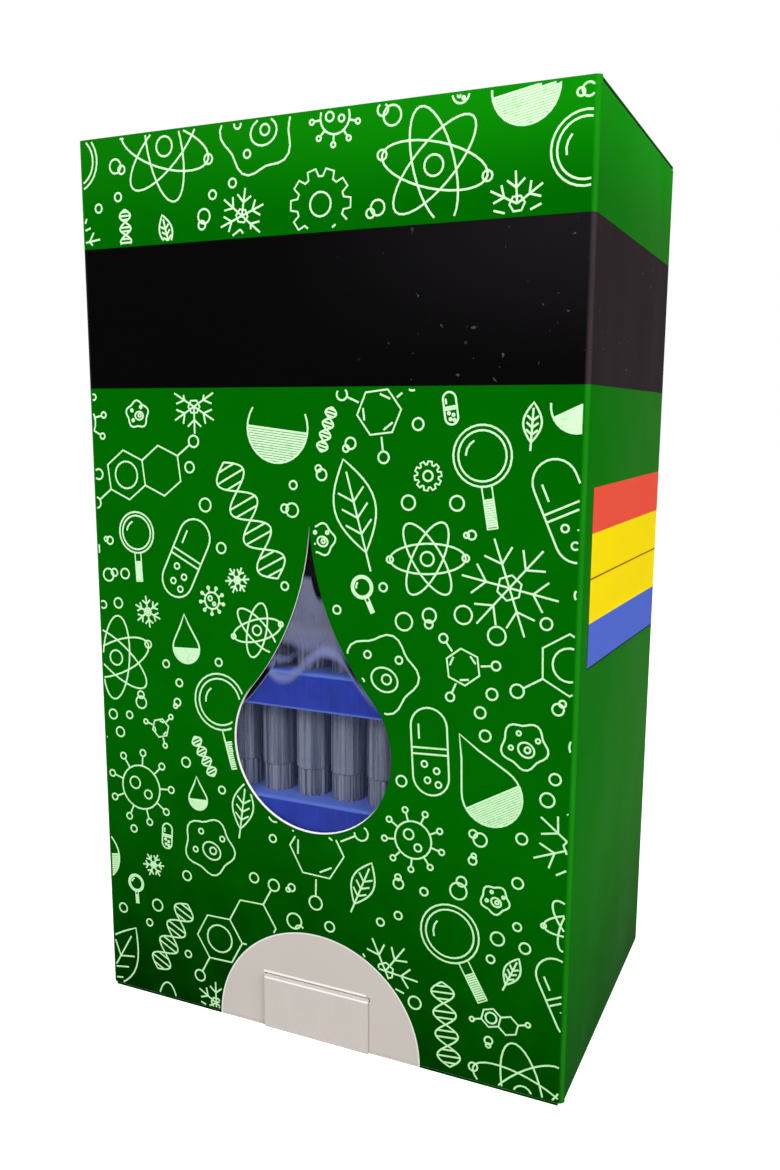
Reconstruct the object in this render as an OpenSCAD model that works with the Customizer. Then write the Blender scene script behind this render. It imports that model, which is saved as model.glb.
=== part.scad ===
// Carton of nested pipette-tip racks: a folded card carton with a film window, a tuck lid
// and a locking tab, holding a stack of moulded decks with a tip hanging in each hole.
// Millimetres, +Z up, front face towards -Y. The origin is the centre of the carton's base.

/* [Tip rack] */
// Racks in the stack
racks = 5; // [3:1:5]
// Rows of tips in a rack, front to back
rows = 8; // [6:1:8]
// Tips in a row, left to right
columns = 12; // [8:1:12]
// Distance between the axes of neighbouring tips
pitch = 9; // [8.8:0.1:10]

/* [Tip] */
// Length of a tip from point to rim
tip_length = 77.5; // [72:0.5:86]
// Height of the tip's barrel above the deck
tip_stand = 21.4; // [18:0.2:26]
// Outer diameter of the barrel at the rim
barrel_d = 7.7; // [7.4:0.1:8]
// Outer diameter of the tip where it passes through the deck
neck_d = 6.5; // [6:0.1:6.6]
// Outer diameter of the tip at its point
point_d = 1.2; // [1:0.1:2]
// Wall of a tip
tip_wall = 0.5; // [0.35:0.05:0.6]
// Wall of a tip at its point
point_wall = 0.3; // [0.2:0.05:0.4]
// Height of the grooved collar at the foot of the barrel
collar_h = 6.2; // [4:0.2:8]
// Depth of the collar's grooves
collar_step = 0.25; // [0.15:0.05:0.3]

/* [Deck] */
// Height of a deck's skirt
deck_h = 8.6; // [6:0.2:12]
// Thickness of the deck's top plate
plate_t = 1.6; // [1:0.1:2.4]
// Thickness of the skirt
skirt_t = 1.2; // [0.8:0.1:1.8]
// Wall of the sleeve round each hole
sleeve_wall = 0.7; // [0.4:0.05:0.85]
// Clearance between a tip's neck and its hole, on the radius
neck_clearance = 0.2; // [0.1:0.05:0.3]
// Distance from the outer tips' axes to the deck's left and right ends
end_margin = 8.4; // [7:0.1:14]
// Distance from the outer tips' axes to the deck's front and back edges
side_margin = 6.9; // [6.6:0.1:12]
// Radius of the deck's corners seen from above
deck_corner_r = 3; // [2:0.5:5]
// Radius along the deck's top edge
deck_edge_r = 0.7; // [0.3:0.1:1]

/* [Carton] */
// Thickness of the carton board
board = 0.5; // [0.4:0.05:0.7]
// Outer radius of the carton's upright folds
fold_r = 1.2; // [0.8:0.1:2]
// Outer radius of the folds at the flaps
flap_fold_r = 0.8; // [0.7:0.1:1.2]
// Clearance between the decks and the carton walls
rack_clearance = 0.6; // [0.55:0.05:2]
// Space between the top tips and the lid
headspace = 4.9; // [3:0.1:20]
// Gap between layers of board that lie on each other
layer_gap = 0.1; // [0.05:0.05:0.2]
// Length of the four dust flaps
dust_flap = 40; // [20:1:50]
// How far the dust flaps' edges are cut back beside the tuck flap
dust_relief = 2; // [1.5:0.1:4]
// Width of the glue flap inside the back left corner
glue_flap = 12; // [8:1:20]

/* [Window] */
// Radius of the round lower part of the teardrop window
window_r = 19.7; // [12:0.1:24]
// Height of the window from its foot to its apex
window_h = 70.3; // [50:0.1:90]
// Lean of the window's flanks from the upright at its apex, in degrees
apex_lean = 3; // [0:0.5:8]
// Height of the window's foot above the base
window_foot = 51; // [46:0.2:70]
// Distance of the window to the left of the middle of the front wall
window_shift = 0.9; // [0:0.1:6]
// Thickness of the window film
film_t = 0.15; // [0.1:0.05:0.25]
// Overlap of the film behind the window's edge
film_lap = 8; // [5:0.5:12]

/* [Lid] */
// Depth of the lid's tuck flap
tuck = 16; // [10:1:18]
// How far the tuck flap's sides stand in from the lid's ends
tuck_inset = 2.5; // [2:0.1:8]
// Lean of the tuck flap beyond the least that lets it swing out, in degrees
spare_lean = 1.1; // [1:0.1:1.5]
// Clearance between the lid and the walls it closes against
lid_clearance = 0.3; // [0.3:0.05:0.5]
// Clearance at the crease of a flap that opens
crease_clearance = 0.2; // [0.15:0.05:0.4]

/* [Locking tab] */
// Width of the tongue
tongue_w = 27; // [18:1:40]
// Height of the slit above the base
slit_z = 13.2; // [9:0.2:20]
// Length of the tongue's tip inside the carton
tongue_tip = 5; // [3:0.5:5.5]
// Clearance between the tongue and the slit
slit_clearance = 0.3; // [0.3:0.05:0.5]
// Gap between the tongue and the front wall
tongue_gap = 0.15; // [0.1:0.05:0.3]

/* [Riser] */
// Thickness of the riser's card
riser_t = 0.8; // [0.5:0.1:1.1]
// Height of the lowest tips' points above the carton's floor
point_clearance = 0.5; // [0.3:0.1:3]

/* [Hidden] */
ROW_LETTERS = "abcdefgh";

// Smooth curves; every round form is a true cylinder, cone or torus
$fn = 48;
// How far a cut runs past the faces it goes through
over = 1;

deck_w = (columns - 1) * pitch + 2 * end_margin;
deck_d = (rows - 1) * pitch + 2 * side_margin;
neck_z = tip_length - tip_stand;
hole_d = neck_d + 2 * neck_clearance;
sleeve_d = hole_d + 2 * sleeve_wall;
// A deck rests on the rims of the tips below it
rack_pitch = tip_stand + deck_h;

carton_w = deck_w + 2 * (rack_clearance + board);
carton_d = deck_d + 2 * (rack_clearance + board);
inner_w = carton_w - 2 * board;
inner_d = carton_d - 2 * board;
// The floor is the bottom panel with the two dust flaps on it
wall_foot = board + layer_gap;
floor_z = wall_foot + board;
first_tip_z = floor_z + point_clearance;
first_deck_z = first_tip_z + neck_z;
stack_top = first_tip_z + tip_length + (racks - 1) * rack_pitch;
carton_h = stack_top + headspace + board;
wall_top = carton_h - board - layer_gap;

// The lid turns about the crease in its own middle plane
lid_axis_y = carton_d / 2 - board / 2;
lid_axis_z = carton_h - board / 2;
lid_front_y = -inner_d / 2 + lid_clearance;
lid_reach = lid_axis_y - lid_front_y;
// A flap that leans like a chord of the lid's swing passes the front wall
tuck_lean = asin(tuck / (2 * lid_reach)) + spare_lean;

// The tongue turns about the crease below the front wall
tab_axis_y = -carton_d / 2 - tongue_gap - board / 2;
tab_axis_z = board / 2;
tongue_reach = slit_z - tab_axis_z;

function deck_name(k) = str("deck_", k);
function tips_name(k, r) = str("tips_", k, ROW_LETTERS[r]);
function column_x(c) = (c - (columns - 1) / 2) * pitch;
function row_y(r) = (r - (rows - 1) / 2) * pitch;
function deck_top(k) = first_deck_z + (k - 1) * rack_pitch;

// ---- Shared shapes ----

// Flat rectangle with round corners
module rounded_rect(w, d, r) {
    square([w - 2 * r, d], center = true);
    square([w, d - 2 * r], center = true);
    for (x = [-1, 1], y = [-1, 1])
        translate([x * (w / 2 - r), y * (d / 2 - r)])
            circle(r);
}

// Draws a profile in the plane of X and Z and extrudes it along Y, centred
module along_y(length) {
    rotate([90, 0, 0])
        linear_extrude(length, center = true)
            children();
}

// Draws a profile in the plane of Y and Z and extrudes it along X, centred
module along_x(length) {
    rotate([90, 0, 90])
        linear_extrude(length, center = true)
            children();
}

// A right-angled bend of board: a quarter ring from the +X side up to the top
module bend(r) {
    difference() {
        intersection() {
            circle(r);
            square(r);
        }
        circle(r - board);
    }
}

// ---- Carton ----

// The four walls' ring between two heights
module wall_ring(z0, z1) {
    translate([0, 0, z0])
        linear_extrude(z1 - z0)
            difference() {
                rounded_rect(carton_w, carton_d, fold_r);
                rounded_rect(inner_w, inner_d, fold_r - board);
            }
}

// The slice of the walls' ring that lies beyond the fold line of the front or back wall
module end_wall(side, z0, z1) {
    intersection() {
        wall_ring(z0, z1);
        translate([0, side * carton_d / 2, (z0 + z1) / 2])
            cube([carton_w + over, 2 * fold_r, z1 - z0 + over], center = true);
    }
}

// Section of the right wall's top edge and the dust flap folded in from it
module dust_flap_profile() {
    r = flap_fold_r;
    translate([carton_w / 2 - board, wall_top - r - over])
        square([board, over]);
    translate([carton_w / 2 - r, wall_top - r])
        bend(r);
    translate([carton_w / 2 - dust_flap, wall_top - board])
        square([dust_flap - r, board]);
}

// Outline of a dust flap seen from above; it tapers towards its end
module dust_flap_plan() {
    root = carton_w / 2 - fold_r;
    end = carton_w / 2 - dust_flap - over;
    root_half = inner_d / 2 - fold_r;
    half = root_half - dust_relief;
    taper = dust_flap / 10;
    polygon([
        [root + 2 * fold_r, -root_half], [root, -root_half], [root - dust_relief, -half],
        [end, -half + taper], [end, half - taper],
        [root - dust_relief, half], [root, root_half], [root + 2 * fold_r, root_half]]);
}

module top_dust_flap() {
    intersection() {
        along_y(inner_d) dust_flap_profile();
        translate([0, 0, wall_top - flap_fold_r - 2 * over])
            linear_extrude(flap_fold_r + 3 * over)
                dust_flap_plan();
    }
}

// The bottom flaps mirror the top ones about the middle of the walls
module bottom_dust_flap() {
    translate([0, 0, wall_foot + wall_top])
        mirror([0, 0, 1])
            top_dust_flap();
}

// The closing panel under the dust flaps, folded forward from the back wall's foot
module bottom_panel() {
    r = flap_fold_r;
    along_x(carton_w - 2 * fold_r) {
        translate([carton_d / 2 - board, r])
            square([board, wall_foot + over]);
        translate([carton_d / 2 - r, r])
            mirror([0, 1])
                bend(r);
        translate([-carton_d / 2, 0])
            square([carton_d - r, board]);
    }
}

// Strip folded from the left wall and glued inside the back wall, its ends cut at a slant
module glue_strip() {
    end_gap = dust_flap / 4;
    slant = glue_flap / 3;
    x0 = -carton_w / 2 + fold_r;
    z0 = floor_z + end_gap;
    z1 = wall_top - end_gap;
    translate([0, inner_d / 2 - board / 4, 0])
        along_y(1.5 * board)
            polygon([[x0, z0], [x0 + glue_flap, z0 + slant],
                [x0 + glue_flap, z1 - slant], [x0, z1]]);
}

// Teardrop with its foot at the origin: a circle drawn up to a point by two flank arcs,
// each through the apex at its lean and touching the circle
module teardrop(r, h, lean) {
    rise = h - r;
    flank_r = (rise * rise - r * r) / (2 * (r - rise * sin(lean)));
    flank = [flank_r * cos(lean), h + flank_r * sin(lean)];
    share = r / (r + flank_r);
    touch = [share * flank[0], r + share * (flank[1] - r)];
    translate([0, r]) circle(r);
    difference() {
        polygon([[-touch[0], touch[1]], [0, r], touch, [0, h]]);
        for (side = [-1, 1])
            translate([side * flank[0], flank[1]])
                circle(flank_r, $fn = 4 * $fn);
    }
}

module window_cut() {
    translate([-window_shift, -carton_d / 2, window_foot])
        along_y(4 * board)
            teardrop(window_r, window_h, apex_lean);
}

module slit_cut() {
    translate([0, -carton_d / 2, slit_z])
        cube([tongue_w + 2 * slit_clearance, 4 * board, board + 2 * slit_clearance], center = true);
}

module carton() {
    color([0.04, 0.5, 0.07]) {
        difference() {
            union() {
                wall_ring(wall_foot + flap_fold_r, wall_top - flap_fold_r);
                end_wall(-1, wall_foot, carton_h);
                end_wall(1, wall_foot + flap_fold_r, lid_axis_z - board / 2 - crease_clearance);
            }
            window_cut();
            slit_cut();
        }
        for (side = [0, 1])
            mirror([side, 0, 0]) {
                top_dust_flap();
                bottom_dust_flap();
            }
        bottom_panel();
        glue_strip();
    }
}

// ---- Lid ----

// Section of the lid: crease, panel, front fold and the leaning tuck flap
module lid_profile() {
    r = flap_fold_r;
    front = lid_front_y + r;
    length = lid_axis_y - front;
    translate([lid_axis_y, lid_axis_z])
        circle(d = board);
    translate([front, carton_h - r])
        difference() {
            union() {
                circle(r);
                square([length, r]);
                rotate(tuck_lean)
                    translate([-r, -tuck])
                        square([r, tuck]);
            }
            circle(r - board);
            rotate(tuck_lean)
                translate([board - r, -tuck - over])
                    square([2 * r, tuck + over]);
            translate([0, -2 * r])
                square([length + over, 3 * r - board]);
        }
}

// Outline of the lid seen from the front: the tuck flap is narrower and its corners are round
module lid_outline(panel_w) {
    tuck_w = panel_w - 2 * tuck_inset;
    corner = tuck / 2;
    foot = carton_h - flap_fold_r - tuck;
    translate([-panel_w / 2, carton_h - board - over / 2])
        square([panel_w, board + over]);
    translate([-tuck_w / 2, foot + corner])
        square([tuck_w, tuck]);
    translate([-tuck_w / 2 + corner, foot - over])
        square([tuck_w - 2 * corner, tuck]);
    for (x = [-1, 1])
        translate([x * (tuck_w / 2 - corner), foot + corner])
            circle(corner);
}

module lid() {
    panel_w = carton_w - board;
    color([0.04, 0.5, 0.07])
        difference() {
            intersection() {
                along_x(panel_w) lid_profile();
                along_y(2 * carton_d) lid_outline(panel_w);
            }
            // The front fold stops short of the walls' upright folds
            for (x = [-1, 1])
                translate([x * panel_w / 2, lid_front_y, carton_h])
                    cube([2 * tuck_inset, 2 * flap_fold_r, 4 * over], center = true);
        }
}

// ---- Locking tab ----

module tongue_profile() {
    sweep = tongue_tip / tongue_reach * 180 / PI;
    far = 2 * tongue_reach;
    // Crease and leaf
    circle(d = board);
    translate([-board / 2, 0])
        square([board, tongue_reach]);
    // The tip follows an arc about the crease, so that it slides out of the slit as it turns
    intersection() {
        difference() {
            circle(tongue_reach + board / 2, $fn = 4 * $fn);
            circle(tongue_reach - board / 2, $fn = 4 * $fn);
        }
        polygon([[-board / 2, 0], [-board / 2, far], [far * sin(sweep), far * cos(sweep)], [0, 0]]);
    }
}

module locking_tab() {
    taper = tongue_w / 8;
    color([0.9, 0.88, 0.86])
        intersection() {
            translate([0, tab_axis_y, tab_axis_z])
                along_x(tongue_w) tongue_profile();
            linear_extrude(2 * tongue_reach)
                polygon([
                    [-tongue_w / 2, tab_axis_y - board],
                    [tongue_w / 2, tab_axis_y - board],
                    [tongue_w / 2, -inner_d / 2],
                    [tongue_w / 2 - taper, tab_axis_y + tongue_tip + over],
                    [-tongue_w / 2 + taper, tab_axis_y + tongue_tip + over],
                    [-tongue_w / 2, -inner_d / 2]]);
        }
}

// ---- Window film ----

module window_film() {
    film_h = window_h + 2 * film_lap;
    color([0.85, 0.9, 0.95, 0.35])
        translate([-window_shift, -inner_d / 2 + film_t / 2, window_foot - film_lap])
            along_y(film_t)
                translate([0, film_h / 2])
                    square([2 * (window_r + film_lap), film_h], center = true);
}

// ---- Riser ----

// Three-sided card stand under the lowest deck's skirt, open towards the front
module riser() {
    corner = deck_corner_r;
    color([0.62, 0.6, 0.56])
        translate([0, 0, floor_z])
            linear_extrude(first_deck_z - deck_h - floor_z)
                difference() {
                    rounded_rect(deck_w, deck_d, corner);
                    rounded_rect(deck_w - 2 * riser_t, deck_d - 2 * riser_t, corner - riser_t);
                    translate([0, -deck_d / 2])
                        square([deck_w + over, 2 * corner], center = true);
                }
}

// ---- Deck ----

// Slab with round corners in plan and a round top edge
module deck_blank() {
    intersection() {
        linear_extrude(deck_h) rounded_rect(deck_w, deck_d, deck_corner_r);
        along_y(deck_d) rounded_top(deck_w);
        along_x(deck_w) rounded_top(deck_d);
    }
}

module rounded_top(w) {
    translate([-w / 2, 0]) square([w, deck_h - deck_edge_r]);
    translate([-w / 2 + deck_edge_r, 0]) square([w - 2 * deck_edge_r, deck_h]);
    for (x = [-1, 1])
        translate([x * (w / 2 - deck_edge_r), deck_h - deck_edge_r])
            circle(deck_edge_r);
}

module at_each_tip() {
    for (r = [0:rows - 1], c = [0:columns - 1])
        translate([column_x(c), row_y(r), 0])
            children();
}

module deck() {
    difference() {
        union() {
            difference() {
                deck_blank();
                translate([0, 0, -over])
                    linear_extrude(deck_h - plate_t + over)
                        rounded_rect(deck_w - 2 * skirt_t, deck_d - 2 * skirt_t,
                            deck_corner_r - skirt_t);
            }
            linear_extrude(deck_h - plate_t + over / 10)
                at_each_tip() circle(d = sleeve_d);
        }
        translate([0, 0, -over])
            linear_extrude(deck_h + 2 * over)
                at_each_tip() circle(d = hole_d);
    }
}

// ---- Tip ----

module tip_section() {
    barrel_r = barrel_d / 2;
    neck_r = neck_d / 2;
    point_r = point_d / 2;
    collar_top = neck_z + collar_h;
    polygon([
        [point_r, 0],
        [neck_r, neck_z],
        [barrel_r - collar_step, neck_z],
        [barrel_r - collar_step, collar_top],
        [barrel_r, collar_top + collar_step],
        [barrel_r, tip_length],
        [barrel_r - tip_wall, tip_length],
        [neck_r - tip_wall, neck_z],
        [point_r - point_wall, 0]]);
}

module tip() {
    rotate_extrude() tip_section();
}

module tip_row(r) {
    for (c = [0:columns - 1])
        translate([column_x(c), row_y(r), 0])
            tip();
}

// ---- Assembly ----

carton();
lid();
locking_tab();
window_film();
riser();

for (k = [1:racks]) {
    color([0.1, 0.18, 0.62])
            translate([0, 0, deck_top(k) - deck_h]) deck();
    for (r = [0:rows - 1])
        color([0.75, 0.78, 0.84])
                translate([0, 0, deck_top(k) - neck_z]) tip_row(r);
}
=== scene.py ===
# %% [markdown]
# # A carton of nested pipette-tip racks
# The carton is a folded sheet of coated board, printed green with white line drawings.
# Behind a teardrop window of clear film stand blue racks, one on another, with a tip hanging
# in every hole. The solids come ready-made; this lesson gives them their finishes, draws
# the printed pattern, and sets up the light and the camera.

# %% Load the solids
import math
import random

import bpy
from mathutils import Matrix, Vector


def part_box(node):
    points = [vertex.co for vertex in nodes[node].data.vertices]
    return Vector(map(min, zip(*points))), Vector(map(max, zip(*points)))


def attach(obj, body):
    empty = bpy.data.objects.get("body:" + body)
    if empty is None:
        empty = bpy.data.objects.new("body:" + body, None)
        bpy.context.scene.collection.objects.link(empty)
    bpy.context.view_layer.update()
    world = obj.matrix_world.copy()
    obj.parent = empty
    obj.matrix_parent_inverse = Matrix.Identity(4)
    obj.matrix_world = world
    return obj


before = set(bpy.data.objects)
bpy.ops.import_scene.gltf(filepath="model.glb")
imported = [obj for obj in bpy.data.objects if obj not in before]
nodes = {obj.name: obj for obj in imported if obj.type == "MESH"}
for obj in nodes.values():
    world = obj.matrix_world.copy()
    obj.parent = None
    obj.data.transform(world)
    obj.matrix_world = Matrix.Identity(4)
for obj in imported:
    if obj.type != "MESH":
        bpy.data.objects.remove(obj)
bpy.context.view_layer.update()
print(len(nodes), "solids loaded")

# %% [markdown]
# Everything that is printed, cut or lit is placed from the solids' own boxes, so a list of
# the sizes that the finishes share comes first. Lengths are in millimetres wherever a
# drawing is laid out, because print is planned on a sheet in millimetres.

# %% Sizes that the finishes share
MM = 0.001


def box_mm(node):
    """Lowest and highest corner of a solid, in millimetres."""
    low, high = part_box(node)
    return low / MM, high / MM


carton_high = box_mm("carton")[1]
film_low, film_high = box_mm("window_film")
half_width = carton_high.x
half_depth = carton_high.y
height = box_mm("lid")[1].z
board = 0.5
fold_radius = 1.2
film_lap = 8
window_middle = (film_high.x + film_low.x) / 2
window_radius = film_high.x - window_middle - film_lap
window_foot = film_low.z + film_lap
window_top = film_high.z - film_lap
band_low, band_high = height - 54.5, height - 23.5
disc_radius = 26.2
slit_low, slit_high = 12.9, 14.1
slit_middle, slit_reach = -0.6, 13.4
print("carton", round(2 * half_width), "x", round(2 * half_depth), "x", round(height), "mm")

# %% [markdown]
# ## Camera
# The carton is seen from a little to its right and from about two thirds of its height,
# through a lens held close, so the upright edges lean together towards the foot. The camera
# is turned 24.5 degrees and tipped down by 10, and a small shift centres the frame on the
# carton. Its place is given in carton widths.

# %% Camera
camera = bpy.data.objects.new("camera", bpy.data.cameras.new("camera"))
bpy.context.scene.collection.objects.link(camera)
bpy.context.scene.camera = camera
eye = Vector((0.90106, -2.01640, 1.22089)) * 2 * half_width * MM
turn, tip_down, roll = (math.radians(a) for a in (24.52, 9.85, 0.22))
camera.matrix_world = (
    Matrix.Translation(eye)
    @ Matrix.Rotation(turn, 4, "Z")
    @ Matrix.Rotation(math.pi / 2 - tip_down, 4, "X")
    @ Matrix.Rotation(roll, 4, "Z")
)
camera.data.lens = 32.26
camera.data.sensor_width = 36
camera.data.shift_x = 0.0091
camera.data.shift_y = 0.0110
camera.data.clip_start = 0.01
print("camera at", [round(c, 3) for c in eye])

# %% [markdown]
# ## Writing shader maths
# A finish is a sum of small rules: green here, black there, white along a cut edge. Dragging
# nodes by hand is slow to read back, so one small class wraps a socket, and ordinary
# arithmetic on it adds the Math nodes. Every other kind of node comes from one method.

# %% A socket that takes part in arithmetic
class Wire:
    """A node's output socket, which can be added, multiplied and compared."""

    def __init__(self, socket):
        self.socket = socket
        self.tree = socket.id_data

    def node(self, kind, inputs, output=0, **settings):
        """A new node of that kind: its settings first, then its sockets' values or links."""
        made = self.tree.nodes.new(kind)
        for name, value in settings.items():
            setattr(made, name, value)
        for name, value in inputs.items():
            if isinstance(value, Wire):
                self.tree.links.new(value.socket, made.inputs[name])
            else:
                made.inputs[name].default_value = value
        return Wire(made.outputs[output])

    def math(self, operation, *values):
        """A Math node of that operation on this wire and the values."""
        return self.node("ShaderNodeMath", dict(enumerate((self, *values))), operation=operation)

    def __add__(self, other):
        return self.math("ADD", other)

    def __sub__(self, other):
        return self.math("SUBTRACT", other)

    def __rsub__(self, other):
        return (self * -1) + other

    def __mul__(self, other):
        return self.math("MULTIPLY", other)

    def __truediv__(self, other):
        return self.math("DIVIDE", other)

    def __abs__(self):
        return self.math("ABSOLUTE")

    __radd__ = __add__
    __rmul__ = __mul__

    def least(self, other):
        """The smaller of the two."""
        return self.math("MINIMUM", other)

    def most(self, other):
        """The larger of the two."""
        return self.math("MAXIMUM", other)

    def sine(self):
        """The sine of this angle, given in radians."""
        return self.math("SINE")

    def past_step(self, step):
        """How far this is past the last whole number of steps."""
        return (self / step).math("FRACT") * step

    def ramp(self, start, end):
        """0 at start, 1 at end, with a smooth rise between them."""
        return self.node(
            "ShaderNodeMapRange",
            {"Value": self, "From Min": start, "From Max": end, "To Min": 0.0, "To Max": 1.0},
            interpolation_type="SMOOTHSTEP",
        )

    def within(self, low, high, soft=0.02):
        """1 between two values, with soft edges of that width."""
        return self.ramp(low - soft, low + soft) * (1 - self.ramp(high - soft, high + soft))

    def mix(self, off, on):
        """A colour: off where this is 0, on where it is 1."""
        return self.node(
            "ShaderNodeMix", {0: self, 6: off, 7: on}, output=2, data_type="RGBA"
        )

    def parts(self):
        """The three numbers of a vector, as three wires."""
        x = self.node("ShaderNodeSeparateXYZ", {0: self})
        return x, Wire(x.socket.node.outputs[1]), Wire(x.socket.node.outputs[2])

    def noise(self, scale, detail=2.0, stretch=(1, 1, 1)):
        """Soft random grain on a place vector in millimetres, from 0 to 1."""
        spread = self.node(
            "ShaderNodeMapping", {"Vector": self, "Scale": stretch}, vector_type="POINT"
        )
        return self.node(
            "ShaderNodeTexNoise", {"Vector": spread, "Scale": scale, "Detail": detail}
        )


def length_of(x, y):
    """The length of a flat vector given as two wires."""
    return (x * x + y * y).math("SQRT")


print("shader maths ready")

# %% [markdown]
# Every finish starts the same way: a material with one Principled shader, and the place on
# the object in millimetres, which pins the pattern to the piece when it moves. Colours are
# given as on a screen, 0 to 255, and turned into the light values that shaders use.

# %% Start of a finish
def paint(red, green, blue):
    """A screen colour as a shader colour."""
    light = [((c / 255 + 0.055) / 1.055) ** 2.4 if c > 10 else c / 3295 for c in (red, green, blue)]
    return light + [1.0]


def start_finish(name, **constants):
    """A new material: its shader with its plain settings, and its place vector in mm."""
    material = bpy.data.materials.new(name)
    material.use_nodes = True
    shader = material.node_tree.nodes["Principled BSDF"]
    for socket, value in constants.items():
        shader.inputs[socket.replace("_", " ")].default_value = value
    coordinates = material.node_tree.nodes.new("ShaderNodeTexCoord")
    where = Wire(coordinates.outputs["Object"])
    place = where.node("ShaderNodeVectorMath", {0: where, 1: [1 / MM] * 3}, operation="MULTIPLY")
    return material, shader, place


def facing(material):
    """The direction that the surface looks, on the finish's own coordinates."""
    return Wire(material.node_tree.nodes["Texture Coordinate"].outputs["Normal"])


def feed(shader, socket, wire):
    """Links a wire to one of the shader's sockets."""
    wire.tree.links.new(wire.socket, shader.inputs[socket])


def show(tree, share, off, on):
    """Sends two shaders to the output, mixed: off where the share is 0, on where it is 1."""
    mixed = share.node(
        "ShaderNodeMixShader", {0: share, 1: Wire(off.outputs[0]), 2: Wire(on.outputs[0])}
    )
    result = next(node for node in tree.nodes if node.type.startswith("OUTPUT"))
    tree.links.new(mixed.socket, result.inputs["Surface"])


def raise_surface(shader, height_wire):
    """Lets a height in millimetres show as bumps."""
    bump = height_wire.node(
        "ShaderNodeBump", {"Height": height_wire, "Strength": 1.0, "Distance": MM}
    )
    feed(shader, "Normal", bump)


def dress(node, material):
    """Puts one finish on every slot of a solid."""
    mesh = nodes[node].data
    if not mesh.materials:
        mesh.materials.append(material)
    for i in range(len(mesh.materials)):
        mesh.materials[i] = material


print("finishes start from", len(bpy.data.materials), "plain materials")

# %% [markdown]
# ## Printed board
# The carton is cut from white board with colour on one side only. So the finish first asks
# how deep a point lies under the outer skin: the skin carries ink and varnish, while the cut
# edges, the inside and the glue strip stay bare. A signed distance to the rounded outline of
# the four walls answers that without painting any face by hand.

# %% Colours and places of the board's print
GREEN = paint(1, 97, 1)
# The darkest green is the painted shade at the foot, and also the label's dark outline; the two top
# greens are painted light, brighter to the right.
GREEN_FOOT = paint(0, 6, 0)
GREEN_TOP_LEFT = paint(10, 114, 5)
GREEN_TOP_RIGHT = paint(12, 138, 6)
GREEN_FLECK = paint(6, 112, 6)
# Pale green for the painted highlight along the folds.
GREEN_FOLD_HIGHLIGHT = paint(40, 150, 32)
GREEN_SIDE_FRONT = paint(4, 108, 2)
# The paler green at the back of the right wall is painted sheen.
GREEN_SIDE_BACK_SHEEN = paint(30, 108, 20)
# A shaded green, painted on the lid's cut edges as painted shade.
LID_EDGE_SHADE = paint(12, 84, 10)
BLACK = paint(8, 7, 8)
# The two paler blacks are painted sheen: on the front towards the right, and on the right wall.
BLACK_SHEEN = paint(26, 24, 26)
BLACK_SIDE_SHEEN = paint(38, 30, 32)
# Pale black for the painted highlight where the folds cross the band.
BLACK_FOLD_HIGHLIGHT = paint(78, 68, 72)
SCUFF = paint(112, 108, 110)
BOARD_LIGHT = paint(232, 229, 222)
BOARD_DARK = paint(206, 201, 191)
# Near white for cut board, and for the painted highlights at the slit's lip and at the tab's bend.
CUT_EDGE_AND_HIGHLIGHT = paint(254, 252, 248)
DISC_WHITE = paint(206, 198, 191)
DISC_RIM = paint(236, 236, 228)
LABEL_RED = paint(232, 82, 62)
LABEL_YELLOW = paint(250, 222, 3)
LABEL_BLUE = paint(80, 104, 202)
LABEL_LINE = paint(84, 70, 20)
INK_GLOSS = 0.0006
# How the painted shade falls: its share of colour at the foot, how fast it fades up the wall, and
# how much less of it there is to the right; then how far down the painted light at the top reaches.
foot_shade, shade_fade, shade_lean = 0.17, 0.0115, 0.4
top_light_band = 22
label_top, label_row = 130.3, 9.1
label_edge, label_fan = -33, 0.0012
print("label rows", label_row, "mm high, from", label_top, "mm down")

# %% [markdown]
# The label is four rows of plain colour. Two helpers come with it: the depth under the outer
# skin, and the grain of the board.

# %% Skin, grain and label
def skin_depth(x, y):
    """Distance from the walls' outer outline in plan, negative inside."""
    across = abs(x) - (half_width - fold_radius)
    along = abs(y) - (half_depth - fold_radius)
    corner = length_of(across.most(0.0), along.most(0.0))
    return corner + across.most(along).least(0.0) - fold_radius


def board_grain(place):
    """Fine fibres under the varnish, and the slow waves of a large sheet."""
    return place.noise(2.2, 3.0) * 0.012 + place.noise(0.03, 1.0) * 1.2


def side_label(x, y, z):
    """The colour label on the right wall: where it is, and its four rows of colour.

    Its rows are level at the head and fall a little towards the back at the foot.
    """
    from_edge = y - label_edge
    z = z + from_edge * (label_top - z) * label_fan
    on_label = x.ramp(half_width - 0.7, half_width - 0.5) * from_edge.ramp(-0.4, -0.3)
    on_label = on_label * z.within(label_top - 4 * label_row - 0.3, label_top, 0.06)
    row = (label_top - z) / label_row
    stripes = row.ramp(0.99, 1.01).mix(LABEL_RED, LABEL_YELLOW)
    stripes = row.ramp(2.99, 3.01).mix(stripes, LABEL_BLUE)
    stripes = abs(row - 2).ramp(0.022, 0.014).mix(stripes, LABEL_LINE)
    outline = row.ramp(3.99, 4.01).most(1 - from_edge.ramp(-0.06, 0.06))
    return on_label, outline.mix(stripes, GREEN_FOOT)


print("skin, grain and label ready")

# %% [markdown]
# The colour is laid down in the order of a print run: the green ground over the whole sheet,
# with painted shade towards the foot and painted light at the top, the label and the black band
# on it, the band with a painted sheen, the white disc round the tab, and at last the pale rims
# where the board is cut, with a painted highlight along the slit's lip, and a painted highlight
# along the upright folds.

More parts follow.
